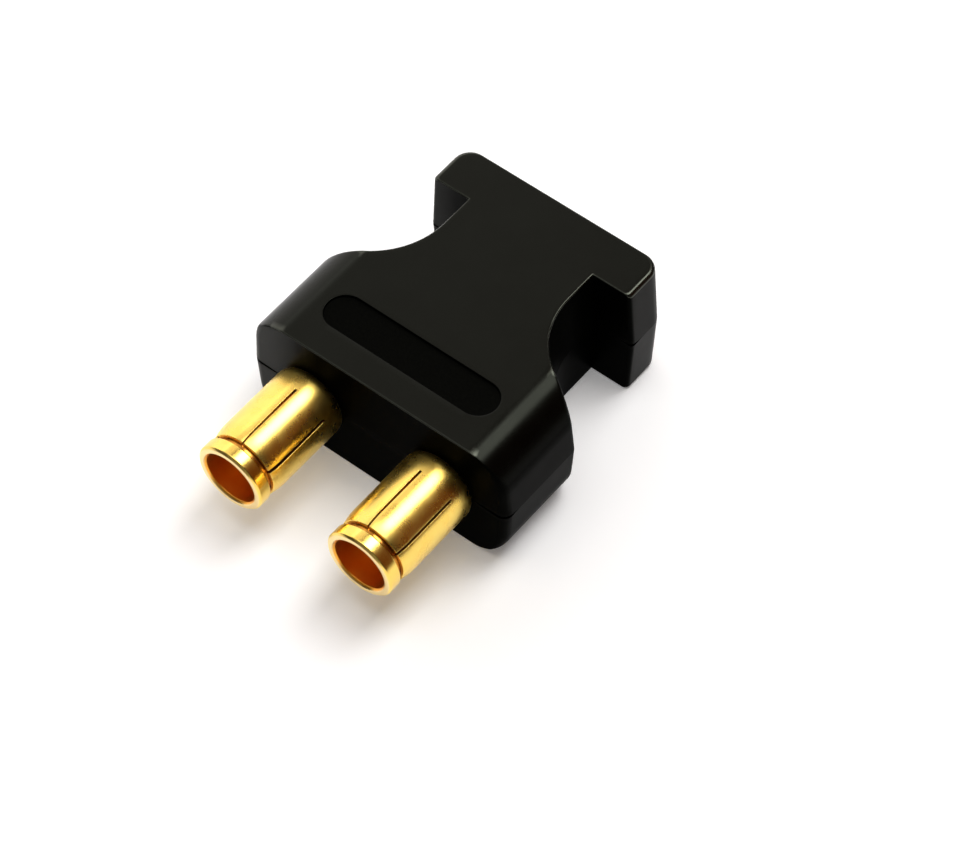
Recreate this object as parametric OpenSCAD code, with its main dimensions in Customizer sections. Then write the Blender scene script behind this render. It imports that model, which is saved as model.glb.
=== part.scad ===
// Triax bridge connector: two slit spring contacts in a waisted pull handle of two half shells.
// Millimetres. +Z is up, the contacts point to -Y, and the part lies on the flat of its lower shell.

/* [Front block] */
// Width of the front block at the joint between the shells
body_w = 39.5; // [38:0.1:44]
// Height over both shells
body_h = 18.8; // [17.5:0.1:22]
// Length from the front face to the back of the handle
body_len = 36.2; // [35:0.1:42]
// Draft of the side walls, in degrees
draft = 3.6; // [1:0.1:5]
// Round along the long edges of the front block
edge_r = 5.6; // [4:0.1:6.5]
// Round on the upright front corners
front_corner_r = 1.3; // [0.4:0.1:2]
// Wall thickness of the shells
wall = 2.2; // [1.6:0.1:2.4]
// Thickness of the front wall that carries the contacts
front_wall = 2.6; // [2:0.1:3.2]

/* [Waist and handle] */
// Width of the neck at the joint between the shells
neck_w = 20.4; // [19:0.1:24]
// Radius of the finger waist
waist_r = 10.7; // [9:0.1:12]
// Angle of the waist arc before it runs straight out to the shoulder
waist_sweep = 60; // [50:1:70]
// Distance from the front face to the start of the waist at the neck
waist_y = 25; // [24:0.1:27]
// Width of the pull bar at the joint between the shells
bar_w = 31.6; // [28:0.1:38]
// Depth of the pull bar
bar_d = 6.5; // [5:0.1:8]
// Round on the upright back corners of the pull bar
bar_corner_r = 2.2; // [1:0.1:2.5]
// Round along the end edges of the pull bar
bar_edge_r = 0.6; // [0.3:0.1:1.2]

/* [Label recess] */
// Length of the round-ended recess on the upper shell
label_len = 25.8; // [20:0.1:28]
// Width of the recess
label_w = 5.3; // [4:0.1:7]
// Depth of the recess
label_depth = 0.4; // [0.2:0.05:0.8]
// Distance from the front face to the middle of the recess
label_y = 6.9; // [5:0.1:10]

/* [Shell joint] */
// Distance of the locating pegs from the middle of the neck
peg_x = 4.6; // [4:0.1:4.8]
// Distance from the front face to the front pair of pegs
front_peg_y = 20; // [18:0.1:22]
// Distance from the front face to the back pair of pegs
back_peg_y = 30; // [28:0.1:31]
// Diameter of a locating peg
peg_d = 2.4; // [1.6:0.1:3]
// Height of a peg above the joint
peg_h = 2.4; // [1.5:0.1:4]
// Wall of the boss round a peg
peg_wall = 1; // [0.8:0.1:1.2]
// Clearance round pegs and where the contacts pass through the shells
seat_gap = 0.05; // [0.02:0.01:0.1]
// Thickness of the rib that holds the contact flanges forward
rib_t = 1.6; // [1.2:0.1:2]

/* [Contact tubes] */
// Distance between the two contacts
pitch = 20; // [19:0.1:21]
// How far the contacts stand out of the front face
contact_len = 15.6; // [14:0.1:18]
// Diameter of the front ring
collar_d = 9.8; // [9.6:0.1:10.4]
// Length of the front ring
collar_len = 2; // [1.6:0.1:3]
// Outer diameter of the flat rim round the mouth
rim_d = 9.1; // [8.6:0.1:9.5]
// Length of the bevel behind the rim
rim_len = 0.3; // [0.2:0.05:0.6]
// Bore of the tube
bore_d = 7.5; // [7.2:0.05:7.7]
// Bevel at the mouth of the bore
mouth_bevel = 0.3; // [0.1:0.05:0.35]
// Outer diameter of the tube behind the ring
tube_d = 8.4; // [8.2:0.05:8.5]
// Diameter of the flange behind the front wall
flange_d = 11.2; // [10.4:0.1:11.6]
// Thickness of the flange
flange_t = 1.5; // [1:0.1:2]
// Length of the tube behind the rib
tube_tail = 1.2; // [0.8:0.1:2]

/* [Spring sleeves] */
// Diameter of the spring sleeve
sleeve_d = 10; // [9.85:0.05:10.3]
// Diameter at the tips of the fingers
nose_d = 9.4; // [9.2:0.05:9.75]
// Length over which the fingers curve in to their tips
nose_len = 2.2; // [1:0.1:2.5]
// Gap between the front ring and the finger tips
groove_w = 0.7; // [0.4:0.05:1]
// Number of spring fingers
finger_count = 6; // [4:1:8]
// Width of the slit between two fingers
slit_w = 0.35; // [0.2:0.05:0.5]
// Length of the slits
slit_len = 9.8; // [8:0.1:11]
// Turn of the left sleeve's slits from upright, in degrees
left_turn = 3; // [-30:1:30]
// Turn of the right sleeve's slits from upright, in degrees
right_turn = -6; // [-30:1:30]
// How far the shoulder at the back end of the sleeve falls in
shoulder_drop = 0.65; // [0.3:0.05:0.65]
// Length of the rounded shoulder at the back end of the sleeve
shoulder_len = 1.2; // [0.5:0.1:2]
// Radial clearance between the sleeve and the tube
sleeve_gap = 0.05; // [0.03:0.01:0.08]

/* [Inner conductors] */
// Diameter of the inner screen
screen_d = 5.2; // [4.6:0.1:5.6]
// Wall of the inner screen
screen_wall = 0.5; // [0.3:0.05:0.7]
// Diameter of the centre pin
pin_d = 2; // [1.6:0.1:2.4]
// How far the tip of the centre pin lies inside the mouth
pin_recess = 4.4; // [4.3:0.1:5]
// How far the tip of the inner screen lies inside the mouth
screen_recess = 4.8; // [4.4:0.1:5.5]
// How far the insulators lie inside the mouth
insulator_recess = 6; // [5.8:0.1:8]
// Thickness of an insulator's head behind the piece that it closes
head_t = 0.8; // [0.5:0.1:1.2]
// Thickness of a link bar
link_t = 1; // [0.8:0.1:1.2]
// Air between an insulator's head and the next link bar
link_gap = 0.3; // [0.2:0.1:0.5]
// Width of metal round a hole in a link bar
link_rim = 1.2; // [0.8:0.1:1.4]
// Length of conductor left behind its link bar
link_tail = 0.5; // [0.3:0.1:0.8]
// Radial clearance between the pressed inner pieces
press_gap = 0.02; // [0.01:0.01:0.04]

/* [Hidden] */
$fn = 96;

LEFT = -1;
RIGHT = 1;

// Overlap of a cutting shape past the face that it cuts
over = 1;
// Steps of a curved stretch of a turned profile
arc_steps = 8;
// Share of its radius by which a round crosses the faces that it joins
blend = 0.003;
// Reach of a cutting shape that has to clear the whole width
far = body_w;

half_h = body_h / 2;
lean = tan(draft);
bar_y = body_len - bar_d;
// The origin is under the middle of the whole length
front_y = (contact_len - body_len) / 2;

// Distances from the front face into the body
flange_end = front_wall + flange_t;
outer_link_end = flange_end + link_t;
rib_y = outer_link_end + seat_gap;
rib_end = rib_y + rib_t;
tube_end = rib_end + tube_tail;
outer_head_end = tube_end + head_t;
inner_link_y = outer_head_end + link_gap;
screen_end = inner_link_y + link_t + link_tail;
inner_head_end = screen_end + head_t;
centre_link_y = inner_head_end + link_gap;
pin_end = centre_link_y + link_t + link_tail;

// Distances from the mouth of a contact
nose_s = collar_len + groove_w;
sleeve_bore_d = tube_d + 2 * sleeve_gap;
outer_insulator_d = bore_d - 2 * press_gap;
screen_bore_d = screen_d - 2 * screen_wall;
inner_insulator_d = screen_bore_d - 2 * press_gap;

SHELL_BLACK = "#1d1e1b";
GOLD = "#d8a935";
BRASS = "#b98b3c";
INSULATOR_WHITE = "#e9e6dc";

// Points on an arc round c, from angle a0 to a1, of the half widths r[0] across and r[1] along
function arc(c, r, a0, a1) =
    [for (i = [0:arc_steps]) let (a = a0 + (a1 - a0) * i / arc_steps) c + [r[0] * cos(a), r[1] * sin(a)]];

// Radius of the curve that leaves a cylinder wall and falls by drop over a length
function nose_curve_r(drop, length) = (drop * drop + length * length) / (2 * drop);

// Puts a shape drawn from the front face and the joint plane into the part's own frame
module placed() {
    translate([0, front_y, half_h]) children();
}

// Puts a shape turned round +Z, drawn from the mouth, on the axis of a contact
module on_contact(side) {
    placed() translate([side * pitch / 2, -contact_len, 0]) rotate([-90, 0, 0]) children();
}

// Carries a section in X and Z from y0 to y1
module along_y(y0, y1) {
    translate([0, y1, 0]) rotate([90, 0, 0]) linear_extrude(y1 - y0) children();
}

// Half section with leaning sides, a flat top and rounded long edges
module drafted_section(half_w, height, r) {
    reach = r * (1 - blend);
    top_half_w = half_w - height * lean;
    zc = height - reach;
    xc = half_w - zc * lean - reach / cos(draft);
    difference() {
        polygon([[-half_w, 0], [half_w, 0], [top_half_w, height], [-top_half_w, height]]);
        for (side = [LEFT, RIGHT]) translate([side * xc, zc]) mirror([side < 0 ? 1 : 0, 0, 0]) difference() {
            polygon([[0, 0], 2 * r * [cos(draft), sin(draft)], 2 * r * [1, 1], [0, 2 * r]]);
            circle(r);
        }
    }
}

// Leaning corner piece that leaves a round of radius r between a drafted side and an upright face
module corner_cut(side, half_w, y, r, inward) {
    reach = r * (1 - blend);
    translate([side * half_w, y, 0]) rotate([0, -side * draft, 0]) difference() {
        translate([side > 0 ? -reach : -over, inward > 0 ? -over : -reach, -over])
            cube([reach + over, reach + over, body_h]);
        translate([-side * reach, inward * reach, -2 * over]) cylinder(r = r, h = body_h + 2 * over);
    }
}

// Everything beyond a leaning wall that runs along X from x0 to x1 at distance r from the waist's axis
module run_cut(r, x0, x1) {
    translate([x0, 0, 0]) rotate([90, 0, 90]) linear_extrude(x1 - x0) polygon([
        [over * lean - r, -over], [far, -over],
        [far, half_h + over], [-r - (half_h + over) * lean, half_h + over],
    ]);
}

// Everything outside the waist on one side, grown by d: the neck wall, a leaning arc, the run to the shoulder
module waist_cut(side, d) {
    r = waist_r + d;
    reach = r * (1 - blend);
    translate([side * (neck_w / 2 + waist_r), waist_y, 0]) mirror([side < 0 ? 1 : 0, 0, 0]) {
        translate([0, 0, -over])
            cylinder(r1 = r - over * lean, r2 = r + (half_h + over) * lean, h = half_h + 2 * over);
        rotate(-90) run_cut(reach, -far, 0);
        rotate(waist_sweep - 90) run_cut(reach, 0, far);
    }
}

// Front block with its waist and neck, from y0 to y1, shrunk by d
module waisted_form(d, y0, y1) {
    difference() {
        along_y(y0, y1) drafted_section(body_w / 2 - d, half_h - d, edge_r - d);
        for (side = [LEFT, RIGHT]) waist_cut(side, d);
    }
}

// Cross bar that the fingers pull on
module pull_bar() {
    difference() {
        along_y(bar_y, body_len) drafted_section(bar_w / 2, half_h, bar_edge_r);
        for (side = [LEFT, RIGHT]) corner_cut(side, bar_w / 2, body_len, bar_corner_r, -1);
    }
}

// Outside of one shell, above the joint plane
module shell_form() {
    difference() {
        waisted_form(0, 0, bar_y + over);
        for (side = [LEFT, RIGHT]) corner_cut(side, body_w / 2, 0, front_corner_r, 1);
    }
    pull_bar();
}

// Round bars along the contact axes
module contact_bars(d, y0, y1) {
    for (side = [LEFT, RIGHT])
        translate([side * pitch / 2, y1, 0]) rotate([90, 0, 0]) cylinder(d = d, h = y1 - y0);
}

// Upright bars at the places of the locating pegs
module peg_bars(d, z0, z1) {
    for (side = [LEFT, RIGHT], y = [front_peg_y, back_peg_y])
        translate([side * peg_x, y, z0]) cylinder(d = d, h = z1 - z0);
}

// Rib across the inside of a shell, with seats for the two tubes
module holding_rib() {
    difference() {
        translate([-body_w / 2, rib_y, -over]) cube([body_w, rib_t, body_h]);
        contact_bars(tube_d + 2 * seat_gap, rib_y - over, rib_end + over);
    }
}

// Hollow of one shell, with its rib and peg bosses left standing
module shell_hollow() {
    difference() {
        waisted_form(wall, front_wall, body_len - wall);
        holding_rib();
        peg_bars(peg_d + 2 * (seat_gap + peg_wall), -over, body_h);
    }
}

// One moulded half, above the joint plane, with no label recess and no pegs
module half_shell() {
    difference() {
        shell_form();
        shell_hollow();
        contact_bars(tube_d + 2 * seat_gap, -over, front_wall + over);
    }
}

// Round-ended outline of the label recess
module label_outline() {
    run = label_len - label_w;
    square([run, label_w], center = true);
    for (side = [LEFT, RIGHT]) translate([side * run / 2, 0]) circle(d = label_w);
}

module upper_shell() {
    color(SHELL_BLACK) placed() difference() {
        half_shell();
        translate([0, label_y, half_h - label_depth]) linear_extrude(label_depth + over) label_outline();
        peg_bars(peg_d + 2 * seat_gap, -over, peg_h + seat_gap);
    }
}

module lower_shell() {
    color(SHELL_BLACK) placed() {
        mirror([0, 0, 1]) half_shell();
        peg_bars(peg_d, -over, peg_h);
    }
}

// Turned tube: bevelled front ring, plain barrel, flange behind the front wall
module contact_tube(side) {
    ring_back_bevel = mouth_bevel / 2;
    face = contact_len;
    color(GOLD) on_contact(side) rotate_extrude() polygon([
        [bore_d / 2 + mouth_bevel, 0], [rim_d / 2, 0],
        [collar_d / 2, rim_len], [collar_d / 2, collar_len - ring_back_bevel],
        [collar_d / 2 - ring_back_bevel, collar_len], [tube_d / 2, collar_len],
        [tube_d / 2, face + front_wall], [flange_d / 2, face + front_wall],
        [flange_d / 2, face + flange_end], [tube_d / 2, face + flange_end],
        [tube_d / 2, face + tube_end], [bore_d / 2, face + tube_end],
        [bore_d / 2, mouth_bevel],
    ]);
}

// Slit sleeve: fingers that curve in to their tips, and a rounded shoulder on the front face
module spring_sleeve(side, turn) {
    drop = (sleeve_d - nose_d) / 2;
    curve_r = nose_curve_r(drop, nose_len);
    nose_end = nose_s + nose_len;
    nose_angle = asin(nose_len / curve_r);
    shoulder_at = [sleeve_d / 2 - shoulder_drop, contact_len - shoulder_len];
    color(GOLD) on_contact(side) difference() {
        rotate_extrude() polygon(concat(
            [[sleeve_bore_d / 2, nose_s]],
            arc([sleeve_d / 2 - curve_r, nose_end], [curve_r, curve_r], -nose_angle, 0),
            arc(shoulder_at, [shoulder_drop, shoulder_len], 0, 90),
            [[sleeve_bore_d / 2, contact_len]]
        ));
        for (i = [0:finger_count - 1]) rotate(turn + i * 360 / finger_count)
            translate([-slit_w / 2, 0, nose_s - over]) cube([slit_w, sleeve_d, slit_len + over]);
    }
}

// Bush with a head that closes the back end of the piece round it
module headed_bush(outer_d, head_d, hole_d, s0, s1) {
    rotate_extrude() polygon([
        [hole_d / 2, s0], [outer_d / 2, s0], [outer_d / 2, s1],
        [head_d / 2, s1], [head_d / 2, s1 + head_t], [hole_d / 2, s1 + head_t],
    ]);
}

module outer_insulator(side) {
    color(INSULATOR_WHITE) on_contact(side) headed_bush(
        outer_insulator_d, tube_d, screen_d + 2 * press_gap, insulator_recess, contact_len + tube_end);
}

module inner_insulator(side) {
    color(INSULATOR_WHITE) on_contact(side) headed_bush(
        inner_insulator_d, screen_d, pin_d + 2 * press_gap, insulator_recess, contact_len + screen_end);
}

module inner_screen(side) {
    color(GOLD) on_contact(side) rotate_extrude() translate([screen_bore_d / 2, screen_recess])
        square([screen_wall, contact_len + screen_end - screen_recess]);
}

// Centre conductor with a rounded tip
module centre_pin(side) {
    tip_r = pin_d / 2;
    color(GOLD) on_contact(side) {
        translate([0, 0, pin_recess + tip_r]) sphere(tip_r);
        translate([0, 0, pin_recess + tip_r])
            cylinder(r = tip_r, h = contact_len + pin_end - pin_recess - tip_r);
    }
}

// Flat bar with a round eye on each contact axis
module link_bar(hole_d, y) {
    eye_d = hole_d + 2 * link_rim;
    color(BRASS) placed() along_y(y, y + link_t) difference() {
        union() {
            square([pitch, hole_d], center = true);
            for (side = [LEFT, RIGHT]) translate([side * pitch / 2, 0]) circle(d = eye_d);
        }
        for (side = [LEFT, RIGHT]) translate([side * pitch / 2, 0]) circle(d = hole_d);
    }
}

module outer_screen_link() { link_bar(tube_d + 2 * press_gap, flange_end); }
module inner_screen_link() { link_bar(screen_d + 2 * press_gap, inner_link_y); }
module centre_link() { link_bar(pin_d + 2 * press_gap, centre_link_y); }

upper_shell();
lower_shell();
contact_tube(LEFT);  // contact_tube_left
contact_tube(RIGHT);  // contact_tube_right
spring_sleeve(LEFT, left_turn);  // spring_sleeve_left
spring_sleeve(RIGHT, right_turn);  // spring_sleeve_right
outer_insulator(LEFT);  // outer_insulator_left
outer_insulator(RIGHT);  // outer_insulator_right
inner_screen(LEFT);  // inner_screen_left
inner_screen(RIGHT);  // inner_screen_right
inner_insulator(LEFT);  // inner_insulator_left
inner_insulator(RIGHT);  // inner_insulator_right
centre_pin(LEFT);  // centre_pin_left
centre_pin(RIGHT);  // centre_pin_right
outer_screen_link();
inner_screen_link();
centre_link();
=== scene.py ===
"""How the triax bridge connector looks: black moulded shells, gold contacts with slit spring sleeves.

The shells, tubes and sleeves are surfaces worked out on grids. The bushes, screens, pins and link bars inside
keep the shapes that they have and get their finish here.
"""

import math

import bmesh
import bpy
import numpy as np
from mathutils import Matrix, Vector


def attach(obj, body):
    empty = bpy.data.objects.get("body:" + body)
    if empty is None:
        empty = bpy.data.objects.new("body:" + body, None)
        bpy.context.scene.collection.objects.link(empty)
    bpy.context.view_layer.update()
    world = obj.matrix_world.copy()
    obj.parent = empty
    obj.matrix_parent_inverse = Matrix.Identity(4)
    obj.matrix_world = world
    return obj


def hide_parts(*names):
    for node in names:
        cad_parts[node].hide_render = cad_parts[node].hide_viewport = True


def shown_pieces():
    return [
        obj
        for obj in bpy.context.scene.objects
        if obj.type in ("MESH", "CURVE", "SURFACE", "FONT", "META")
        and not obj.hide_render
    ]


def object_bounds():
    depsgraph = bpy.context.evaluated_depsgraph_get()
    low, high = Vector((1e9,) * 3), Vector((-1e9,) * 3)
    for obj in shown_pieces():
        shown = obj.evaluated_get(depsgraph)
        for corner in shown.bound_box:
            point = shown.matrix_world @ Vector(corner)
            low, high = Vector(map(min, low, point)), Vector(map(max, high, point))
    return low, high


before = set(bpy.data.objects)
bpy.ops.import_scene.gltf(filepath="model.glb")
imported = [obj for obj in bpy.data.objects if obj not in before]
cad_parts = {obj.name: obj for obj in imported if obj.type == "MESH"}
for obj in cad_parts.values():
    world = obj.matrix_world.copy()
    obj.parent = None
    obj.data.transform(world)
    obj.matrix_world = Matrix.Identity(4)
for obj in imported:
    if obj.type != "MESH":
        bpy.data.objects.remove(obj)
solid_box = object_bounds()

MM = 0.001

# Moulded body, in millimetres: x across, y back from the front face, z away from the joint of the two shells
BODY_W = 39.5
HALF_H = 9.4
BODY_LEN = 36.2
LEAN = math.tan(math.radians(3.6))
LONG_ROUND = 5.6
CORNER_ROUND = 1.3
WALL = 2.2
FRONT_WALL = 2.6
NECK_W = 20.4
WAIST_R = 10.7
WAIST_SWEEP = math.radians(60)
WAIST_Y = 25.0
BAR_W = 31.6
BAR_D = 6.5
BAR_CORNER_ROUND = 2.2
BAR_EDGE = 0.6
BAR_FRONT_EDGE = 0.6
TOP_EDGE = 0.2
SHOULDER_EASE = 0.5
LONG_ROUND_END = 15.0

# Joint: mean height of its eased edge, the shares of it where the joint is closed and open, the depth to the
# height, the greatest share in height, and where and how wide the bells of the open corners are
SEAM = 0.1
SEAM_CLOSED = 0.1
SEAM_OPEN = 3.2
SEAM_DEPTH = 2.5
SEAM_RISE = 2.2
SEAM_BACK = 0.4
BLOCK_BELL_IN = 0.6
BLOCK_BELL = (3.5, 1.2)
BAR_BELL = (1.2, 0.8)

# Label recess on the upper shell
LABEL_RUN = 20.5
LABEL_R = 2.65
LABEL_Y = 6.9
LABEL_DEPTH = 0.4
LABEL_LIP = 0.06

# Contacts: s runs back from the mouth
PITCH = 20.0
CONTACT_LEN = 15.6
SLEEVE_R = 5.0
NOSE_R = 4.7
NOSE_S = 2.7
NOSE_LEN = 2.2
SLEEVE_BORE_R = 4.25
RING_R = 4.9
RING_LEN = 2.0
RING_EASE = 0.15
RIM_R = 4.55
MOUTH_R = 4.05
MOUTH_BEVEL = 0.3
TUBE_R = 4.2
TUBE_BORE_R = 3.75
TUBE_TAIL = 7.95
FLANGE_R = 5.6
FLANGE_T = 1.5
SHOULDER_DROP = 0.65
SHOULDER_LEN = 1.2
SLIT_W = 0.35
# Width of each slit at the finger tips, from the uppermost one round towards +X
SLIT_TIP_W = {"left": (0.2, 0.45, 0.3, 0.3, 0.3, 0.3), "right": (0.26, 0.36, 0.3, 0.3, 0.3, 0.3)}
SLIT_END = 12.5
FINGERS = 6
TURN = {"left": math.radians(3), "right": math.radians(-6)}
SIDE = {"left": -1, "right": 1}

# Painted sheen on the plastic: marks of the small edges, which get painted highlights, of the bar's ends, of
# the places of painted shade, and of the front face at places across it; how far a face that counts as
# upright or flat faces up; half the joint's band
EDGE_SHEEN = 2.0
BAR_END_SHEEN = 0.4
SHADE_LEVEL = -1.0
FRONT_SHEEN_X = (-16.5, -11.5, -9.0)
FRONT_SHEEN = (0.57, 0.3, SHADE_LEVEL)
UPRIGHT = 0.2
FLAT = 0.995
JOINT_BAND = 1.0

# The front face and the joint in the part's own frame
FRONT_Y = (CONTACT_LEN - BODY_LEN) / 2
PLACE = np.array([0.0, FRONT_Y, HALF_H])


# Pieces

def from_grids(*grids):
    """Points and four-cornered faces of grids of points (rows, columns, 3), joined where borders meet.

    A grid may come with a mask of the cells to keep.
    """
    points, faces, start = [], [], 0
    for grid in grids:
        grid, keep = grid if isinstance(grid, tuple) else (grid, None)
        rows, cols = grid.shape[:2]
        at = start + np.arange(rows * cols).reshape(rows, cols)
        cells = np.stack([at[:-1, :-1], at[1:, :-1], at[1:, 1:], at[:-1, 1:]], -1)
        faces.append(cells.reshape(-1, 4) if keep is None else cells[keep])
        points.append(grid.reshape(-1, 3))
        start += rows * cols
    points, faces = np.concatenate(points), np.concatenate(faces)
    _, first, same = np.unique(np.round(points, 5), axis=0, return_index=True, return_inverse=True)
    return tidy_points(points[first], same.reshape(-1)[faces])


def tidy_points(points, faces):
    """The same faces, on the points that they use and no others."""
    used, same = np.unique(faces, return_inverse=True)
    return points[used], same.reshape(faces.shape)


def make_piece(name, points, faces, material):
    """A mesh object from points in millimetres, with every face turned outwards."""
    mesh = bpy.data.meshes.new(name)
    mesh.from_pydata((points + PLACE) * MM, [], faces.tolist())
    work = bmesh.new()
    work.from_mesh(mesh)
    bmesh.ops.recalc_face_normals(work, faces=work.faces)
    work.to_mesh(mesh)
    work.free()
    piece = bpy.data.objects.new(name, mesh)
    bpy.context.collection.objects.link(piece)
    mesh.materials.append(material)
    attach(piece, "root")
    return piece


def soften(piece, angle):
    """Smooth shading up to an angle between faces; large faces rule the shading of small rounds."""
    piece.data.shade_smooth()
    piece.data.set_sharp_from_angle(angle=math.radians(angle))
    piece.modifiers.new("even shading", "WEIGHTED_NORMAL").keep_sharp = True


def quarter_in(z, top, r):
    """Inset of a rounded edge: nothing until r below the top, then a quarter circle in to r at the top."""
    up = np.clip(z - (top - r), 0, r)
    return r - np.sqrt(np.maximum(r * r - up * up, 0))


# Moulded shells

CORNER_T = np.linspace(0, math.pi / 2, 9)
LABEL_T = np.linspace(0, math.pi, 25)
LABEL_V = np.linspace(-1, 1, 33)
MARGIN = np.linspace(0, 1, 7)[1:]


def section_width(z, d):
    """Half width of the front block at height z, shrunk by d: a leaning side, then the long round."""
    r = LONG_ROUND - d
    zc = HALF_H - d - r
    xc = BODY_W / 2 - d - zc * LEAN - r * math.sqrt(1 + LEAN * LEAN)
    turn = math.atan(LEAN)
    rise = np.clip(z - zc, 0, r)
    return np.where(z < zc + r * math.sin(turn), BODY_W / 2 - d - z * LEAN, xc + np.sqrt(r * r - rise * rise))


def along(a, b, count):
    """Values from a to b, without a itself, for each level."""
    return a + (b - a) * np.linspace(0, 1, count + 1)[1:]


def right_side(z, d, edge, seam, rows):
    """Right half of the outline at heights z: front corner, side, shoulder, waist, neck and pull bar.

    The waist is an arc round a fixed axis, whose radius grows with height, and a straight run on to the
    shoulder. Rows are the places along the side, from the front corner to the shoulder, as shares of its
    length.
    """
    z = z[:, None]
    inner = d > 0
    inset = seam + (0 if inner else quarter_in(z, HALF_H, edge))
    bar_inset = seam + (0 if inner else quarter_in(z, HALF_H, BAR_EDGE))
    side_x = section_width(z, d) - seam
    front = (FRONT_WALL if inner else 0) + inset
    gone = np.clip((BODY_W / 2 - d - z * LEAN - side_x) / (1.5 * CORNER_ROUND), 0, 1)
    corner = CORNER_ROUND - (CORNER_ROUND - 0.3) * gone
    axis_x = NECK_W / 2 + WAIST_R
    r = WAIST_R + d + z * LEAN + inset
    neck = axis_x - r
    start_x = axis_x - r * math.cos(WAIST_SWEEP)
    run = np.maximum(side_x - start_x, 0) / math.sin(WAIST_SWEEP)
    sweep = np.where(side_x > start_x, WAIST_SWEEP, np.arccos(np.clip((axis_x - side_x) / r, -1, 1)))
    shoulder_y = WAIST_Y - r * np.sin(sweep) - run * math.cos(WAIST_SWEEP)

    def waist(s):
        """Point at distance s from the shoulder along the run and then the arc."""
        a = np.maximum(sweep - np.maximum(s - run, 0) / r, 0)
        on_run = s < run
        x = np.where(on_run, side_x - s * math.sin(WAIST_SWEEP), axis_x - r * np.cos(a))
        y = np.where(on_run, shoulder_y + s * math.cos(WAIST_SWEEP), WAIST_Y - r * np.sin(a))
        return x, y

    bar_x = neck + 0.5 if inner else BAR_W / 2 - z * LEAN - bar_inset
    bar_front = BODY_LEN - WALL - 2 if inner else BODY_LEN - BAR_D + inset
    bar_back = BODY_LEN - (WALL if inner else 0) - inset
    front_round, back_round = (0.1, 0.3) if inner else (BAR_FRONT_EDGE, BAR_CORNER_ROUND)
    even = np.ones_like(z)
    first = front + corner
    t = np.linspace(0, 1, 8)[1:]
    ease = SHOULDER_EASE
    ease_x, ease_y = waist(even * ease)
    total = run + r * sweep
    wx, wy = waist(along(ease * even, total, 48))
    neck_y = along(WAIST_Y * even, bar_front * even, 5)
    bar_run = along(neck, bar_x - front_round, 8)
    end_y = along((bar_front + front_round) * even, (bar_back - back_round) * even, 6)
    xs = [
        side_x - corner + corner * np.sin(CORNER_T),
        side_x * np.ones_like(rows),
        (1 - t) ** 2 * side_x + 2 * t * (1 - t) * side_x + t * t * ease_x,
        wx,
        neck * np.ones_like(neck_y),
        bar_run,
        bar_x - front_round + front_round * np.sin(CORNER_T[1:]),
        bar_x * np.ones_like(end_y),
        bar_x - back_round + back_round * np.cos(CORNER_T[1:]),
    ]
    ys = [
        first - corner * np.cos(CORNER_T),
        first + (shoulder_y - ease - first) * rows,
        (1 - t) ** 2 * (shoulder_y - ease) + 2 * t * (1 - t) * shoulder_y + t * t * ease_y,
        wy,
        neck_y,
        bar_front * np.ones_like(bar_run),
        bar_front + front_round - front_round * np.cos(CORNER_T[1:]),
        end_y,
        bar_back - back_round + back_round * np.sin(CORNER_T[1:]),
    ]
    sizes = np.cumsum([x.shape[1] for x in xs])
    outline = np.stack([np.concatenate([part * even for part in parts], 1) for parts in (xs, ys)], -1)
    return outline, sizes[4] - 1, sizes[5] - 1


def spread(half, middle):
    """Places across a row: even steps over the middle part, then even steps out to each end."""
    out = middle[:, None] + (half - middle)[:, None] * MARGIN
    return np.concatenate([-out[:, ::-1], middle[:, None] * LABEL_V, out], 1)


def label_grid(grow, z):
    """Round-ended sheet of the label recess, grown by a little, at height z."""
    r = LABEL_R + grow
    x = (LABEL_RUN / 2 + r * np.sin(LABEL_T))[:, None] * LABEL_V
    y = (LABEL_Y - r * np.cos(LABEL_T))[:, None] * np.ones_like(LABEL_V)
    return np.stack([x, y, np.full_like(x, z)], -1)


def border(grid):
    """Points round the border of a grid, back to the first one."""
    return np.concatenate([grid[0], grid[1:, -1], grid[-1, -2::-1], grid[-2::-1, 0]])


def seam_gape(ring):
    """How far the joint gapes round the outline, as a share of its mean width.

    It is nearly closed along the walls and stands open by a bell curve round each front corner of the block
    and of the bar.
    """
    x, y = abs(ring[:, 0]), ring[:, 1]
    block_x, block_y = x - BODY_W / 2 + BLOCK_BELL_IN, y - SEAM_BACK
    bar_x, bar_y = x - BAR_W / 2, y - BODY_LEN + BAR_D - SEAM_BACK
    block = np.exp(-((block_x / BLOCK_BELL[0]) ** 2 + (block_y / BLOCK_BELL[1]) ** 2))
    bar = np.exp(-((bar_x / BAR_BELL[0]) ** 2 + (bar_y / BAR_BELL[1]) ** 2))
    return SEAM_CLOSED + (SEAM_OPEN - SEAM_CLOSED) * np.maximum(block, bar)


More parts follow.
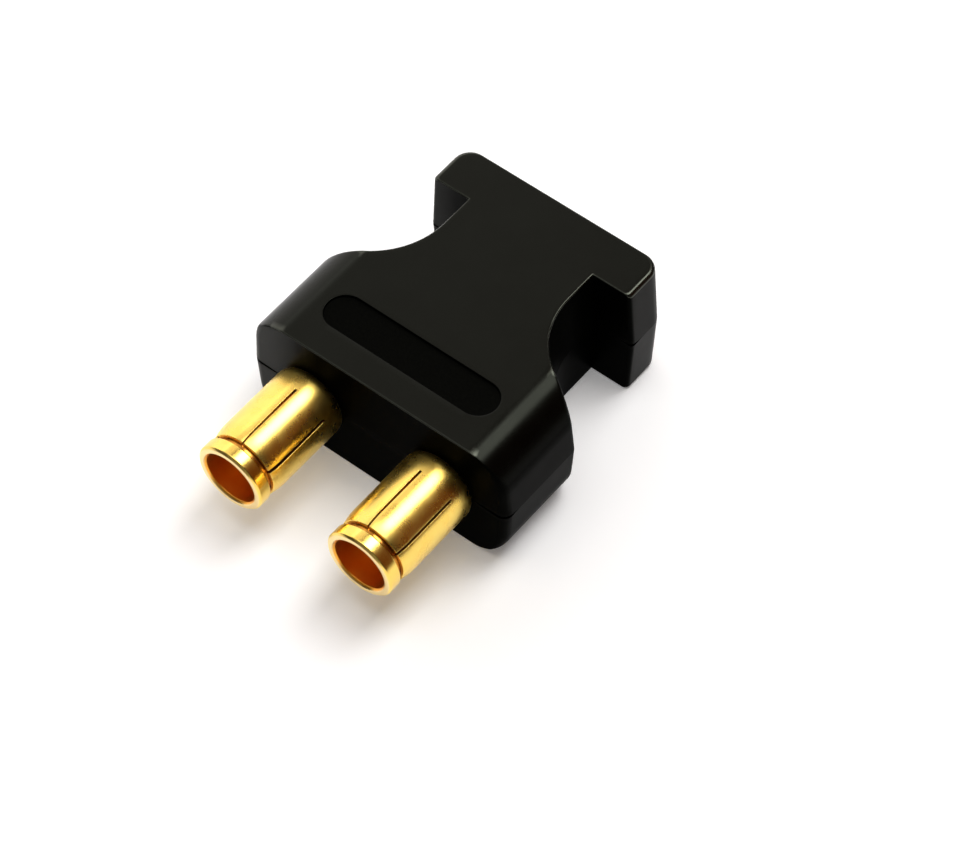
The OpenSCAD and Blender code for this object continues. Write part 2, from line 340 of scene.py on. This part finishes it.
def body_skin(z, d, edge, seam, label):
    """Grids of the wall and the top of a shell, and the wall's lowest ring.

    The wall is the outline carried up through the heights z. The top is ruled across from the right half of
    the outline to the left half. With a label, the cells over the recess are left open and the recess is hung
    in.
    """
    label_rows = LABEL_Y - (LABEL_R + LABEL_LIP) * np.cos(LABEL_T)
    ends, _, _ = right_side(z[-1:], d, edge, seam[-1:], np.array([0.0, 1.0]))
    y0, y1 = ends[0, CORNER_T.size, 1], ends[0, CORNER_T.size + 1, 1]
    places = np.concatenate([
        np.linspace(y0, label_rows[0], 6)[1:], label_rows[1:], np.linspace(label_rows[-1], y1, 8)[1:],
    ])
    right, neck_at, bar_at = right_side(z, d, edge, seam, (places - y0) / (y1 - y0))
    top = right[-1]

    half, y = top[:neck_at + 1, 0], top[:neck_at + 1, 1]
    middle = np.minimum(LABEL_RUN / 2, 0.8 * half)
    first = CORNER_T.size + 4
    rows = slice(first, first + LABEL_T.size)
    middle[rows] = LABEL_RUN / 2 + (LABEL_R + LABEL_LIP) * np.sin(LABEL_T)
    across = spread(half, middle)
    keep = np.ones((half.size - 1, across.shape[1] - 1), bool)
    if label:
        keep[first:first + LABEL_T.size - 1, MARGIN.size:-MARGIN.size] = False

    def lift(x, y):
        """Rows of points on the top, one row to each y."""
        return np.stack([x, np.broadcast_to(y[:, None], x.shape), np.full(x.shape, z[-1])], -1)

    block_top = lift(across, y)

    bar_first = np.concatenate([-top[bar_at:neck_at:-1, 0], across[-1], top[neck_at + 1:bar_at + 1, 0]])
    share = bar_first / bar_first[-1]
    bar_top = lift(top[bar_at:, 0][:, None] * share, top[bar_at:, 1])

    front_half = right[:, 0, 0]
    front_x = spread(front_half, np.minimum(LABEL_RUN / 2, 0.8 * front_half))
    front = np.stack([front_x, right[:, :1, 1] * np.ones_like(front_x)], -1)
    back_x = right[:, -1:, 0] * share
    back = np.stack([back_x, right[:, -1:, 1] * np.ones_like(back_x)], -1)
    left = right * np.array([-1, 1])
    ring = np.concatenate([right, back[:, -2:0:-1], left[:, ::-1], front[:, 1:]], 1)
    wall = np.concatenate([ring, np.broadcast_to(z[:, None, None], ring.shape[:2] + (1,))], -1)
    gape = seam_gape(wall[1])
    wall[0, :, :2] = wall[1, :, :2] + (wall[0, :, :2] - wall[1, :, :2]) * (SEAM_DEPTH * gape[:, None])
    wall[1, :, 2] = wall[1, :, 2] * np.minimum(gape, SEAM_RISE)

    grids = [wall, (block_top, keep), bar_top]
    if label:
        lip = [(LABEL_LIP, 0), (0.025, 0.01), (0.005, 0.03), (0, LABEL_LIP), (-0.03, LABEL_DEPTH - 0.1),
               (-0.05, LABEL_DEPTH - 0.03), (-0.12, LABEL_DEPTH)]
        rings = [label_grid(grow, z[-1] - down) for grow, down in lip]
        grids += [np.stack([border(ring) for ring in rings]), rings[-1]]
    return grids, wall[0]


def shell(name, up, material, label_material):
    """One half of the moulded body, hollow, with its joint edge eased and bored for the two contacts."""
    zc = HALF_H - LONG_ROUND
    bend = np.linspace(math.atan(LEAN), math.pi / 2, 30)
    z = np.concatenate([[0], np.linspace(SEAM, zc + LONG_ROUND * math.sin(bend[0]), 6)[:-1],
                        zc + LONG_ROUND * np.sin(bend)])
    seam = np.clip(SEAM - z, 0, None)[:, None]
    outer, outer_ring = body_skin(z, 0, TOP_EDGE, seam, up > 0)
    r = LONG_ROUND - WALL
    z_in = np.concatenate([np.linspace(0, zc, 4)[:-1], zc + r * np.sin(np.linspace(0, math.pi / 2, 9))])
    inner, inner_ring = body_skin(z_in, WALL, 0, np.zeros((z_in.size, 1)), False)
    points, faces = from_grids(*outer, *inner, np.stack([outer_ring, inner_ring]))
    points = points * np.array([1, 1, up])
    piece = make_piece(name, points, faces, material)
    bore_for_contacts(piece)
    mark_painted_sheen(piece)
    if up > 0:
        finish_label(piece, label_material)
    soften(piece, 35)
    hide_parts(name)


def read(items, name):
    """A three-part measure of all points or faces of a mesh, one row each."""
    values = np.empty(3 * len(items), np.float32)
    items.foreach_get(name, values)
    return values.reshape(-1, 3)


def mark_painted_sheen(piece):
    """Writes a painted sheen by how far each point faces up or down, and painted highlights on the small
    rounds.

    The small rounds are the leaning points near the top and bottom, but for the long rounds of the front
    block. The edges of the joint face up and down too, but get no sheen there. The left long round gets about
    as much as the top. The waist and the places that face forward get painted shade and are marked by a
    minus, but for the left end of the front face, which gets a painted reflection.
    """
    mesh = piece.data
    facing = read(mesh.vertex_normals, "vector")
    up, ahead = abs(facing[:, 2]), np.clip(-facing[:, 1], 0, 1)
    x, y, z = (read(mesh.vertices, "co") / MM - PLACE).T
    upright = up < UPRIGHT
    front_edge = (y < 0.5) & (x < BODY_W / 2 - LONG_ROUND + 1.0)
    leaning = (up > UPRIGHT) & (up < FLAT)
    edge = leaning & (abs(z) > HALF_H - BAR_EDGE) & (front_edge | (y > LONG_ROUND_END))
    left_round = (x < LONG_ROUND - BODY_W / 2) & (up > 0.5) & (y < LONG_ROUND_END)
    joint = abs(z) < JOINT_BAND
    bar_end = (joint | upright) & (abs(x) > BAR_W / 2 - 1.0) & (y > BODY_LEN - BAR_D)
    front = ahead * np.interp(x, FRONT_SHEEN_X, FRONT_SHEEN)
    waist = (joint | upright) & (y > LONG_ROUND_END - 1.5) & (y < BODY_LEN - BAR_D)
    # Painted highlights on the small edges, painted shade on the waist and the forward faces, painted
    # reflection at the front's left end
    level = np.select([edge, ahead > 0.5, waist, bar_end, joint, left_round],
                      [EDGE_SHEEN, front, SHADE_LEVEL, BAR_END_SHEEN, front, 0.95 + 0.05 * up], up)
    rubbed = mesh.attributes.new("rubbed", "FLOAT", "POINT")
    rubbed.data.foreach_set("value", level.astype(np.float32))


def finish_label(piece, material):
    """Gives the floor of the label recess its own finish."""
    mesh = piece.data
    x, y, z = (read(mesh.polygons, "center") / MM - PLACE).T
    off_run = np.hypot(np.maximum(abs(x) - LABEL_RUN / 2, 0), y - LABEL_Y)
    in_recess = (off_run < LABEL_R + 0.01) & (z > HALF_H - LABEL_DEPTH - 0.01) & (z < HALF_H - 0.05)
    mesh.materials.append(material)
    mesh.polygons.foreach_set("material_index", in_recess.astype(np.int32))


def bore_for_contacts(piece):
    """Cuts the two round holes through the front wall where the tubes pass."""
    turn = np.linspace(0, 2 * math.pi, 97)[:-1]
    n = turn.size
    ring = np.arange(n)
    y = np.repeat([-1.0, FRONT_WALL + 1], n)
    for side in SIDE.values():
        x = side * PITCH / 2 + SLEEVE_BORE_R * np.tile(np.cos(turn), 2)
        points = np.stack([x, y, SLEEVE_BORE_R * np.tile(np.sin(turn), 2)], -1)
        faces = [list(ring[::-1]), list(ring + n)]
        faces += np.stack([ring, np.roll(ring, -1), np.roll(ring, -1) + n, ring + n], 1).tolist()
        mesh = bpy.data.meshes.new("bore")
        mesh.from_pydata((points + PLACE) * MM, [], faces)
        cutter = bpy.data.objects.new("bore", mesh)
        bpy.context.collection.objects.link(cutter)
        cut = piece.modifiers.new("bore", "BOOLEAN")
        cut.operation, cut.solver, cut.object = "DIFFERENCE", "EXACT", cutter
        bpy.context.view_layer.update()
        shaped = bpy.data.meshes.new_from_object(piece.evaluated_get(bpy.context.evaluated_depsgraph_get()))
        piece.modifiers.clear()
        piece.data = shaped
        bpy.data.objects.remove(cutter)


# Contacts

def on_axis(side, r, turn, s):
    """Points at radius r, at an angle from straight up towards +X, at distance s behind the mouth."""
    x, y = SIDE[side] * PITCH / 2 + r * np.sin(turn), s - CONTACT_LEN + 0 * r * turn
    return np.stack([x, y, r * np.cos(turn)], -1)


def eased_profile(corners, count=6):
    """A closed profile of (radius, place, round) corners, each eased by a parabola that starts round away."""
    p = np.array([c[:2] for c in corners], float)
    cut = np.array([c[2] for c in corners], float)[:, None]
    before, after = np.roll(p, 1, 0) - p, np.roll(p, -1, 0) - p
    a = p + before / np.linalg.norm(before, axis=1, keepdims=True) * cut
    b = p + after / np.linalg.norm(after, axis=1, keepdims=True) * cut
    t = np.linspace(0, 1, count)[None, :, None]
    curve = (1 - t) ** 2 * a[:, None] + 2 * t * (1 - t) * p[:, None] + t * t * b[:, None]
    return curve.reshape(-1, 2)


def contact_tube(side, material):
    """Turned tube: bevelled front ring, barrel, flange behind the front wall. A profile turned round."""
    flange = CONTACT_LEN + FRONT_WALL
    end = CONTACT_LEN + TUBE_TAIL
    profile = eased_profile([
        (MOUTH_R, 0, 0.05), (RIM_R, 0, 0.1), (RING_R, MOUTH_BEVEL, 0.12),
        (RING_R, RING_LEN - RING_EASE, 0.06), (RING_R - RING_EASE, RING_LEN, 0.05),
        (TUBE_R, RING_LEN, 0.05), (TUBE_R, flange, 0.05),
        (FLANGE_R, flange, 0.1), (FLANGE_R, flange + FLANGE_T, 0.1), (TUBE_R, flange + FLANGE_T, 0.05),
        (TUBE_R, end, 0.1), (TUBE_BORE_R, end, 0.05), (TUBE_BORE_R, MOUTH_BEVEL, 0.08),
    ])
    profile = np.concatenate([profile, profile[:1]])
    turn = np.linspace(0, 2 * math.pi, 145)
    grid = on_axis(side, profile[:, :1], turn, profile[:, 1:])
    points, faces = from_grids(grid)
    piece = make_piece("contact_tube_" + side, points, faces, material)
    soften(piece, 40)
    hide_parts("contact_tube_" + side)


def spring_sleeve(side, material, slit_shade_material):
    """Slit sleeve: an outer and an inner sheet over angle and length, open at the slits and walled there.

    Near a slit the outer sheet rolls over by a small quarter circle. Each slit changes evenly in width from
    its end to the finger tips. The walls of the slits get a dark painted shade, but for the uppermost slit.
    """
    tip, roll = 0.1, 0.045
    back = np.linspace(0, math.pi / 2, 13)
    s = np.concatenate([
        NOSE_S + tip * (1 - np.cos(np.linspace(0, math.pi / 2, 6))), NOSE_S + np.linspace(0.2, NOSE_LEN, 10),
        np.linspace(NOSE_S + NOSE_LEN, SLIT_END, 16)[1:],
        np.linspace(SLIT_END, CONTACT_LEN - SHOULDER_LEN, 6)[1:],
        CONTACT_LEN - SHOULDER_LEN + SHOULDER_LEN * np.sin(back[1:]),
    ])
    slit_row = int(np.argmin(abs(s - SLIT_END)))
    drop = SLEEVE_R - NOSE_R
    curve = (drop * drop + NOSE_LEN * NOSE_LEN) / (2 * drop)
    ahead = np.clip(NOSE_S + NOSE_LEN - s, 0, None)
    r = SLEEVE_R - curve + np.sqrt(curve * curve - ahead * ahead)
    shoulder = quarter_in(s, CONTACT_LEN, SHOULDER_LEN) * SHOULDER_DROP / SHOULDER_LEN
    r = r - quarter_in(-s, -NOSE_S, tip) - shoulder
    tip_w = np.array(SLIT_TIP_W[side])[:, None]
    slit_w = tip_w + (SLIT_W - tip_w) * np.clip((s - NOSE_S) / (SLIT_END - NOSE_S), 0, 1)
    reach = math.pi / FINGERS - slit_w / 2 / SLEEVE_R

    rolled = roll * (1 - np.cos(np.linspace(0, math.pi / 2, 5)))
    fall = roll * (1 - np.sin(np.linspace(0, math.pi / 2, 5)))
    span = np.linspace(-1, 1, 17)[1:-1]
    left_turn = rolled[:, None] / SLEEVE_R - reach[:, None]
    right_turn = np.roll(reach, -1, 0)[:, None] - rolled[::-1, None] / SLEEVE_R
    face_turn = left_turn[:, -1:] + (right_turn[:, :1] - left_turn[:, -1:]) * (span[:, None] + 1) / 2
    next_slit = np.full((FINGERS, 1, s.size), math.pi / FINGERS)
    finger_turn = np.concatenate([left_turn, face_turn, right_turn, next_slit], 1)
    finger_fall = np.concatenate([fall, 0 * span, fall[::-1]])[:, None] * (s < SLIT_END - 0.01)
    finger_fall = np.concatenate([finger_fall, np.zeros((1, s.size))])
    cols = finger_turn.shape[1]
    centres = TURN[side] + (np.arange(FINGERS) + 0.5) * 2 * math.pi / FINGERS
    turn = (centres[:, None, None] + finger_turn).reshape(-1, s.size)
    fall = np.tile(finger_fall, (FINGERS, 1))
    outer = on_axis(side, np.maximum(r - fall, SLEEVE_BORE_R + 0.02), turn, s)
    inner = on_axis(side, np.full_like(turn, SLEEVE_BORE_R), turn, s)

    points = np.concatenate([outer.reshape(-1, 3), inner.reshape(-1, 3)])
    at = np.arange(turn.size).reshape(turn.shape)
    deep = at + turn.size
    nxt, deep_nxt = np.roll(at, -1, 0), np.roll(deep, -1, 0)
    place = np.arange(turn.shape[0]) % cols
    solid = (place < cols - 2)[:, None] | (np.arange(s.size - 1) >= slit_row)[None, :]
    skin = np.stack([at[:, :-1], at[:, 1:], nxt[:, 1:], nxt[:, :-1]], -1)[solid]
    lining = np.stack([deep[:, :-1], deep_nxt[:, :-1], deep_nxt[:, 1:], deep[:, 1:]], -1)[solid]
    sides = (place == 0) | (place == cols - 2)
    walls = np.stack([at[sides, :slit_row], at[sides, 1:slit_row + 1],
                      deep[sides, 1:slit_row + 1], deep[sides, :slit_row]], -1).reshape(-1, 4)
    gap = place >= cols - 2
    ends = np.stack([at[gap, slit_row], nxt[gap, slit_row], deep_nxt[gap, slit_row], deep[gap, slit_row]], -1)
    tips = np.stack([at[~gap, 0], nxt[~gap, 0], deep_nxt[~gap, 0], deep[~gap, 0]], -1)
    rear = np.stack([at[:, -1], nxt[:, -1], deep_nxt[:, -1], deep[:, -1]], -1)
    parts = [skin, lining, walls, ends, tips, rear]
    points, faces = tidy_points(points, np.concatenate(parts))
    piece = make_piece("spring_sleeve_" + side, points, faces, material)
    # Faces of the slit walls, which get the painted shade
    slit_shade_faces = np.repeat([0, 0, 1, 1, 0, 0], [len(part) for part in parts])
    first, last = len(skin) + len(lining), len(skin) + len(lining) + len(walls)
    slit_shade_faces[first:first + slit_row] = slit_shade_faces[last - slit_row:last] = 0
    piece.data.materials.append(slit_shade_material)
    piece.data.polygons.foreach_set("material_index", slit_shade_faces.astype(np.int32))
    soften(piece, 40)
    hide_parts("spring_sleeve_" + side)


# Finishes

# Painted shade of the gold in the bore, in the groove and under the slits
BORE_SHADE_GOLD = (0.96, 0.43, 0.055, 1)
GROOVE_SHADE_GOLD = (0.62, 0.28, 0.05, 1)
CREVICE_SHADE_GOLD = (0.26, 0.08, 0.02, 1)
PALE_RIM_GOLD = (0.95, 0.73, 0.33, 1)
BLACK_SHINE = (0.93, 1.0, 0.80, 1)
BUMP_DEPTH = 0.00003


def node(tree, kind, inputs=None, **settings):
    """A node with its settings; inputs are constants, or the sockets that feed them."""
    made = tree.nodes.new(kind)
    for name, value in settings.items():
        setattr(made, name, value)
    for name, value in (inputs or {}).items():
        if isinstance(value, bpy.types.NodeSocket):
            tree.links.new(value, made.inputs[name])
        else:
            made.inputs[name].default_value = value
    return made


def finish_tree(name):
    """A new material, its node tree, its main shader and the place on the piece."""
    material = bpy.data.materials.new(name)
    material.use_nodes = True
    tree = material.node_tree
    return material, tree, tree.nodes["Principled BSDF"], node(tree, "ShaderNodeTexCoord").outputs["Object"]


def combine(tree, operation, *values):
    """Values put together by a sum, a product or the like."""
    return node(tree, "ShaderNodeMath", dict(enumerate(values)), operation=operation).outputs[0]


def ramp(tree, value, low, high, start=0.0, end=1.0):
    """A value carried from the range start..end to low..high."""
    made = node(tree, "ShaderNodeMapRange", {"Value": value, "From Min": start, "From Max": end,
                                             "To Min": low, "To Max": high})
    return made.outputs["Result"]


def noise(tree, place, scale, detail=2.0, roughness=0.5, stretch=None):
    """A noise over the place, in steps to the metre, stretched along an axis where that is given."""
    if stretch:
        place = node(tree, "ShaderNodeMapping", {"Vector": place, "Scale": stretch}).outputs["Vector"]
    return node(tree, "ShaderNodeTexNoise", {"Vector": place, "Scale": scale, "Detail": detail,
                                             "Roughness": roughness}).outputs["Fac"]


def tint(tree, factor, low, high):
    """A colour between two, by a factor."""
    made = node(tree, "ShaderNodeValToRGB", {"Fac": factor})
    made.color_ramp.elements[0].position, made.color_ramp.elements[1].position = 0.3, 0.7
    made.color_ramp.elements[0].color = (*low, 1)
    made.color_ramp.elements[1].color = (*high, 1)
    return made.outputs["Color"]


def blend(tree, factor, low, high):
    """A colour that goes from low to high by a factor; each is a socket or a constant."""
    made = node(tree, "ShaderNodeMix", data_type="RGBA")
    for socket, value in zip((made.inputs[0], made.inputs[6], made.inputs[7]), (factor, low, high)):
        if isinstance(value, bpy.types.NodeSocket):
            tree.links.new(value, socket)
        else:
            socket.default_value = value
    return made.outputs[2]


def dress(tree, shader, colour, roughness, grain, strength, depth=BUMP_DEPTH):
    """Feeds the main shader its colour, its roughness and a bump from the grain."""
    bump = node(tree, "ShaderNodeBump", {"Height": grain, "Strength": strength, "Distance": depth})
    feeds = {"Base Color": colour, "Roughness": roughness, "Normal": bump.outputs["Normal"]}
    for name, socket in feeds.items():
        tree.links.new(socket, shader.inputs[name])


def moulded_black():
    """Black moulding compound with a very fine grain, which shines by a painted sheen marked on its points.

    The painted sheen is soft on top and on the rounds, stronger on the small rounded edges as painted
    highlights, and little on the walls, least of all where they are marked by a minus for painted shade.
    """
    material, tree, shader, place = finish_tree("moulded_black")
    cloud = noise(tree, place, 260, 4)
    grain = noise(tree, place, 9000, 3, 0.6)
    handling = noise(tree, place, 150, 5, 0.6)
    rubbed = node(tree, "ShaderNodeAttribute", attribute_name="rubbed").outputs["Fac"]
    dull = ramp(tree, rubbed, 0.14, 0.0, 0.3, 0.8)
    sheen = combine(tree, "ADD", ramp(tree, handling, 0.22, 0.27, 0.3, 0.7), dull)
    # Specular level from the painted sheen: painted highlights on the small edges, painted shade where marked
    # by a minus
    on_faces = ramp(tree, rubbed, 0.016, 0.1, 0.3, 0.8)
    on_front = ramp(tree, rubbed, -0.012, 0.0, SHADE_LEVEL, 0.0)
    on_top = ramp(tree, rubbed, 0.0, 0.055, 0.975, 0.998)
    on_edges = ramp(tree, rubbed, 0.0, 0.36, 1.0, EDGE_SHEEN)
    shine = combine(tree, "ADD", combine(tree, "ADD", on_faces, on_front), on_top)
    tree.links.new(combine(tree, "ADD", shine, on_edges), shader.inputs["Specular IOR Level"])
    shader.inputs["Specular Tint"].default_value = BLACK_SHINE
    colour = tint(tree, cloud, (0.0005, 0.0005, 0.0004), (0.0011, 0.0012, 0.0009))
    dress(tree, shader, colour, sheen, grain, 0.03)
    return material


def label_floor_black():
    """The same black, left dull and coarse from the mould on the floor of the label recess."""
    material, tree, shader, place = finish_tree("label_floor_black")
    pits = noise(tree, place, 2600, 4, 0.65)
    shader.inputs["Specular IOR Level"].default_value = 0.013
    shader.inputs["Specular Tint"].default_value = BLACK_SHINE
    colour = tint(tree, pits, (0.0005, 0.0005, 0.0004), (0.0014, 0.0014, 0.0011))
    dress(tree, shader, colour, ramp(tree, pits, 0.45, 0.6), pits, 0.25, 2 * BUMP_DEPTH)
    return material


def contact_radius(tree, place):
    """Distance of a place from the nearer contact's axis, in metres."""
    axis = (PITCH / 2 * MM, 0, HALF_H * MM)
    folded = node(tree, "ShaderNodeVectorMath", {0: place}, operation="ABSOLUTE")
    from_axis = node(tree, "ShaderNodeVectorMath", {0: folded.outputs[0], 1: axis}, operation="SUBTRACT")
    across = node(tree, "ShaderNodeVectorMath", {0: from_axis.outputs[0], 1: (1, 0, 1)}, operation="MULTIPLY")
    return node(tree, "ShaderNodeVectorMath", {0: across.outputs[0]}, operation="LENGTH").outputs["Value"]


def plated_gold(name, smooth, rough):
    """Gold plate over a turned surface, with fine turning lines round the axis.

    It is painted with shade: reddish in the bore, deeper in the groove and dark under the slits. It is paler
    on the rim round the mouth.
    """
    material, tree, shader, place = finish_tree(name)
    stain = noise(tree, place, 420, 4, 0.6)
    lines = noise(tree, place, 1500, 3, 0.6, (0.02, 8, 0.02))
    radius = contact_radius(tree, place)
    along_axis = node(tree, "ShaderNodeSeparateXYZ", {0: place}).outputs["Y"]
    mouth = (FRONT_Y - CONTACT_LEN) * MM
    plate = tint(tree, stain, (0.99, 0.66, 0.135), (1.0, 0.73, 0.175))
    # Painted shade inside the contact: in the bore, in the groove, and on the tube under the slits
    under_slits = ramp(tree, along_axis, 0.0, 1.0, mouth + 0.0026, mouth + 0.0028)
    crevice_shade = blend(tree, under_slits, GROOVE_SHADE_GOLD, CREVICE_SHADE_GOLD)
    inside_shade = blend(tree, ramp(tree, radius, 0.0, 1.0, 0.00405, 0.0041), BORE_SHADE_GOLD, crevice_shade)
    outside = blend(tree, ramp(tree, radius, 0.0, 1.0, 0.00425, 0.0046), inside_shade, plate)
    # Paler gold on the rim round the mouth
    rim = ramp(tree, along_axis, 1.0, 0.0, mouth + 0.00003, mouth + 0.00015)
    in_bore = ramp(tree, radius, 0.12, 0.0, 0.0038, 0.0041)
    dull = combine(tree, "ADD", ramp(tree, stain, smooth, rough, 0.3, 0.7), in_bore)
    shader.inputs["Metallic"].default_value = 1.0
    dress(tree, shader, blend(tree, rim, outside, PALE_RIM_GOLD), dull, lines, 0.02)
    return material


def slit_gold():
    """Painted shade: a dull dark plate on the sawn walls of the slits."""
    material, tree, shader, place = finish_tree("slit_gold")
    stain = noise(tree, place, 900, 4, 0.6)
    shader.inputs["Metallic"].default_value = 1.0
    colour = tint(tree, stain, (0.20, 0.055, 0.015), (0.32, 0.10, 0.03))
    dress(tree, shader, colour, ramp(tree, stain, 0.35, 0.5), stain, 0.05)
    return material


def waxy_white():
    """Waxy white insulating plastic, slightly cloudy."""
    material, tree, shader, place = finish_tree("waxy_white")
    cloud = noise(tree, place, 500, 4)
    shader.inputs["Subsurface Weight"].default_value = 0.1
    shader.inputs["Subsurface Radius"].default_value = (0.001, 0.001, 0.0008)
    colour = tint(tree, cloud, (0.74, 0.72, 0.66), (0.82, 0.80, 0.74))
    dress(tree, shader, colour, ramp(tree, cloud, 0.38, 0.52), noise(tree, place, 6000, 2), 0.05)
    return material


def rolled_brass():
    """Rolled brass strip with a brushed grain along its length."""
    material, tree, shader, place = finish_tree("rolled_brass")
    grain = noise(tree, place, 3000, 3, 0.6, (0.03, 1, 1))
    shader.inputs["Metallic"].default_value = 1.0
    colour = tint(tree, grain, (0.62, 0.40, 0.14), (0.74, 0.52, 0.22))
    dress(tree, shader, colour, ramp(tree, grain, 0.24, 0.42), grain, 0.1)
    return material


black = moulded_black()
label_black = label_floor_black()
turned_gold = plated_gold("turned_gold", 0.2, 0.26)
spring_gold = plated_gold("spring_gold", 0.25, 0.31)
slit_shade = slit_gold()
white = waxy_white()
brass = rolled_brass()

shell("upper_shell", 1, black, label_black)
shell("lower_shell", -1, black, label_black)
for side in SIDE:
    contact_tube(side, turned_gold)
    spring_sleeve(side, spring_gold, slit_shade)

# Solids that keep their shape, by the start of their names; a later match goes before an earlier one
kept_finish = {
    "outer_insulator": white, "inner_insulator": white,
    "inner_screen": turned_gold, "centre_pin": turned_gold,
    "outer_screen_link": brass, "inner_screen_link": brass, "centre_link": brass,
}
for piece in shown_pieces():
    for start, finish in kept_finish.items():
        if piece.name.startswith(start):
            for held in piece.material_slots:
                held.material = finish


# Floor, light and camera, in metres

FAR_PAPER_SHADE = (0.26, 0.25, 0.24, 1)
PAPER_LIGHT = 0.15
PAPER_REACH = 0.9
PAPER_GAP = 0.00002
ROOM_WARM = (0.11, 0.036, 0.007, 1)
ROOM_GREY = (0.035, 0.03, 0.025, 1)

# Name, place, width, height and radiance of each soft box
LAMPS = [
    ("overhead_strip", (0.078, 0.225, 0.55), 0.255, 0.36, 7.5),
    ("zenith_box", (0.01, -0.06, 0.6), 0.5, 0.26, 2.5),
    ("left_wall", (-0.6, 0.25, 0.22), 0.7, 1.1, 1.3),
    ("front_fill", (0.1, -0.6, 0.3), 0.9, 0.5, 0.15),
    ("left_front", (-0.45, -0.25, 0.45), 0.5, 0.4, 0.5),
    ("left_sky", (-0.33, 0.3, 0.5), 0.3, 0.8, 0.85),
]

# Camera: turn, height and roll in degrees, lens and sensor in mm, and its place along its own axes in mm
CAMERA_TURN, CAMERA_HEIGHT, CAMERA_ROLL = 39.799, 54.184, -1.387
CAMERA_LENS, CAMERA_SENSOR = 140.43, 36
CAMERA_AT = (12.3321, 0.8329, 448.897)


def floor_finish():
    """White paper, grey far to the right as painted shade, with a little light of its own for the camera and
    for shines.
    """
    material, tree, shader, place = finish_tree("floor_paper")
    fibre = noise(tree, place, 900, 4, 0.6)
    across = node(tree, "ShaderNodeSeparateXYZ", {0: place}).outputs["X"]
    paper = tint(tree, fibre, (0.94, 0.94, 0.94), (0.97, 0.97, 0.97))
    # Painted shade: the paper goes grey far to the right, where the pool of light ends
    colour = blend(tree, ramp(tree, across, 0.0, 1.0, 0.08, 0.19), paper, FAR_PAPER_SHADE)
    tree.links.new(colour, shader.inputs["Base Color"])
    shader.inputs["Roughness"].default_value = 0.9
    shader.inputs["Specular IOR Level"].default_value = 0.0
    rays = node(tree, "ShaderNodeLightPath").outputs
    seen = combine(tree, "MAXIMUM", rays["Is Camera Ray"], rays["Is Glossy Ray"])
    seen = combine(tree, "MAXIMUM", seen, rays["Is Transmission Ray"])
    shader.inputs["Emission Color"].default_value = (1, 1, 1, 1)
    tree.links.new(combine(tree, "MULTIPLY", seen, PAPER_LIGHT), shader.inputs["Emission Strength"])
    return material


def lay_floor():
    """A flat sheet of paper under the part, a grid over x and y."""
    reach = np.linspace(-PAPER_REACH, PAPER_REACH, 3)
    x, y = np.meshgrid(reach, reach)
    low = np.full_like(x, solid_box[0][2] - PAPER_GAP)
    faces = [[0, 1, 4, 3], [1, 2, 5, 4], [3, 4, 7, 6], [4, 5, 8, 7]]
    mesh = bpy.data.meshes.new("floor")
    mesh.from_pydata(np.stack([x, y, low], -1).reshape(-1, 3), [], faces)
    floor = bpy.data.objects.new("floor", mesh)
    bpy.context.collection.objects.link(floor)
    mesh.materials.append(floor_finish())


def stand(name, data, right, up, back, at):
    """A lamp or camera in the scene, with its own three axes and its place."""
    made = bpy.data.objects.new(name, data)
    bpy.context.collection.objects.link(made)
    made.matrix_world = Matrix([*np.column_stack([right, up, back, at]).tolist(), (0, 0, 0, 1)])
    return made


def lamp(name, place, width, height, radiance):
    """A soft box that faces the part; its power is its radiance times pi times its area."""
    data = bpy.data.lights.new(name, "AREA")
    data.shape, data.size, data.size_y = "RECTANGLE", width, height
    data.energy = radiance * math.pi * width * height
    back = np.array(place) / np.linalg.norm(place)
    right = np.cross((0, 1, 0), back)
    right = right / np.linalg.norm(right)
    stand(name, data, right, np.cross(back, right), back, place)


def room():
    """A dim room: dark grey, with a warm brown band across it behind the part, by the direction's y."""
    world = bpy.data.worlds.new("room")
    world.use_nodes = True
    tree = world.node_tree
    direction = node(tree, "ShaderNodeTexCoord").outputs["Generated"]
    behind = node(tree, "ShaderNodeSeparateXYZ", {0: direction}).outputs["Y"]
    off_band = combine(tree, "ABSOLUTE", combine(tree, "SUBTRACT", behind, 0.4))
    colour = blend(tree, ramp(tree, off_band, 1.0, 0.0, 0.25, 0.45), ROOM_GREY, ROOM_WARM)
    tree.links.new(colour, tree.nodes["Background"].inputs["Color"])
    tree.nodes["Background"].inputs["Strength"].default_value = 1.0
    return world


def set_camera():
    """The camera stands as it did for the photograph."""
    data = bpy.data.cameras.new("camera")
    data.sensor_fit, data.sensor_width, data.lens = "HORIZONTAL", CAMERA_SENSOR, CAMERA_LENS
    data.clip_start, data.clip_end = 0.01, 10
    az, el, roll = np.radians([CAMERA_TURN, CAMERA_HEIGHT, CAMERA_ROLL])
    level = np.array([math.cos(az), math.sin(az), 0])
    rise = np.array([-math.sin(el) * math.sin(az), math.sin(el) * math.cos(az), math.cos(el)])
    back = np.array([math.sin(az) * math.cos(el), -math.cos(az) * math.cos(el), math.sin(el)])
    right = math.cos(roll) * level + math.sin(roll) * rise
    up = math.cos(roll) * rise - math.sin(roll) * level
    at = (CAMERA_AT[0] * right + CAMERA_AT[1] * up + CAMERA_AT[2] * back + PLACE) * MM
    bpy.context.scene.camera = stand("camera", data, right, up, back, at)


lay_floor()
for box in LAMPS:
    lamp(*box)
set_camera()

scene = bpy.context.scene
scene.view_settings.view_transform = "Standard"
scene.world = room()
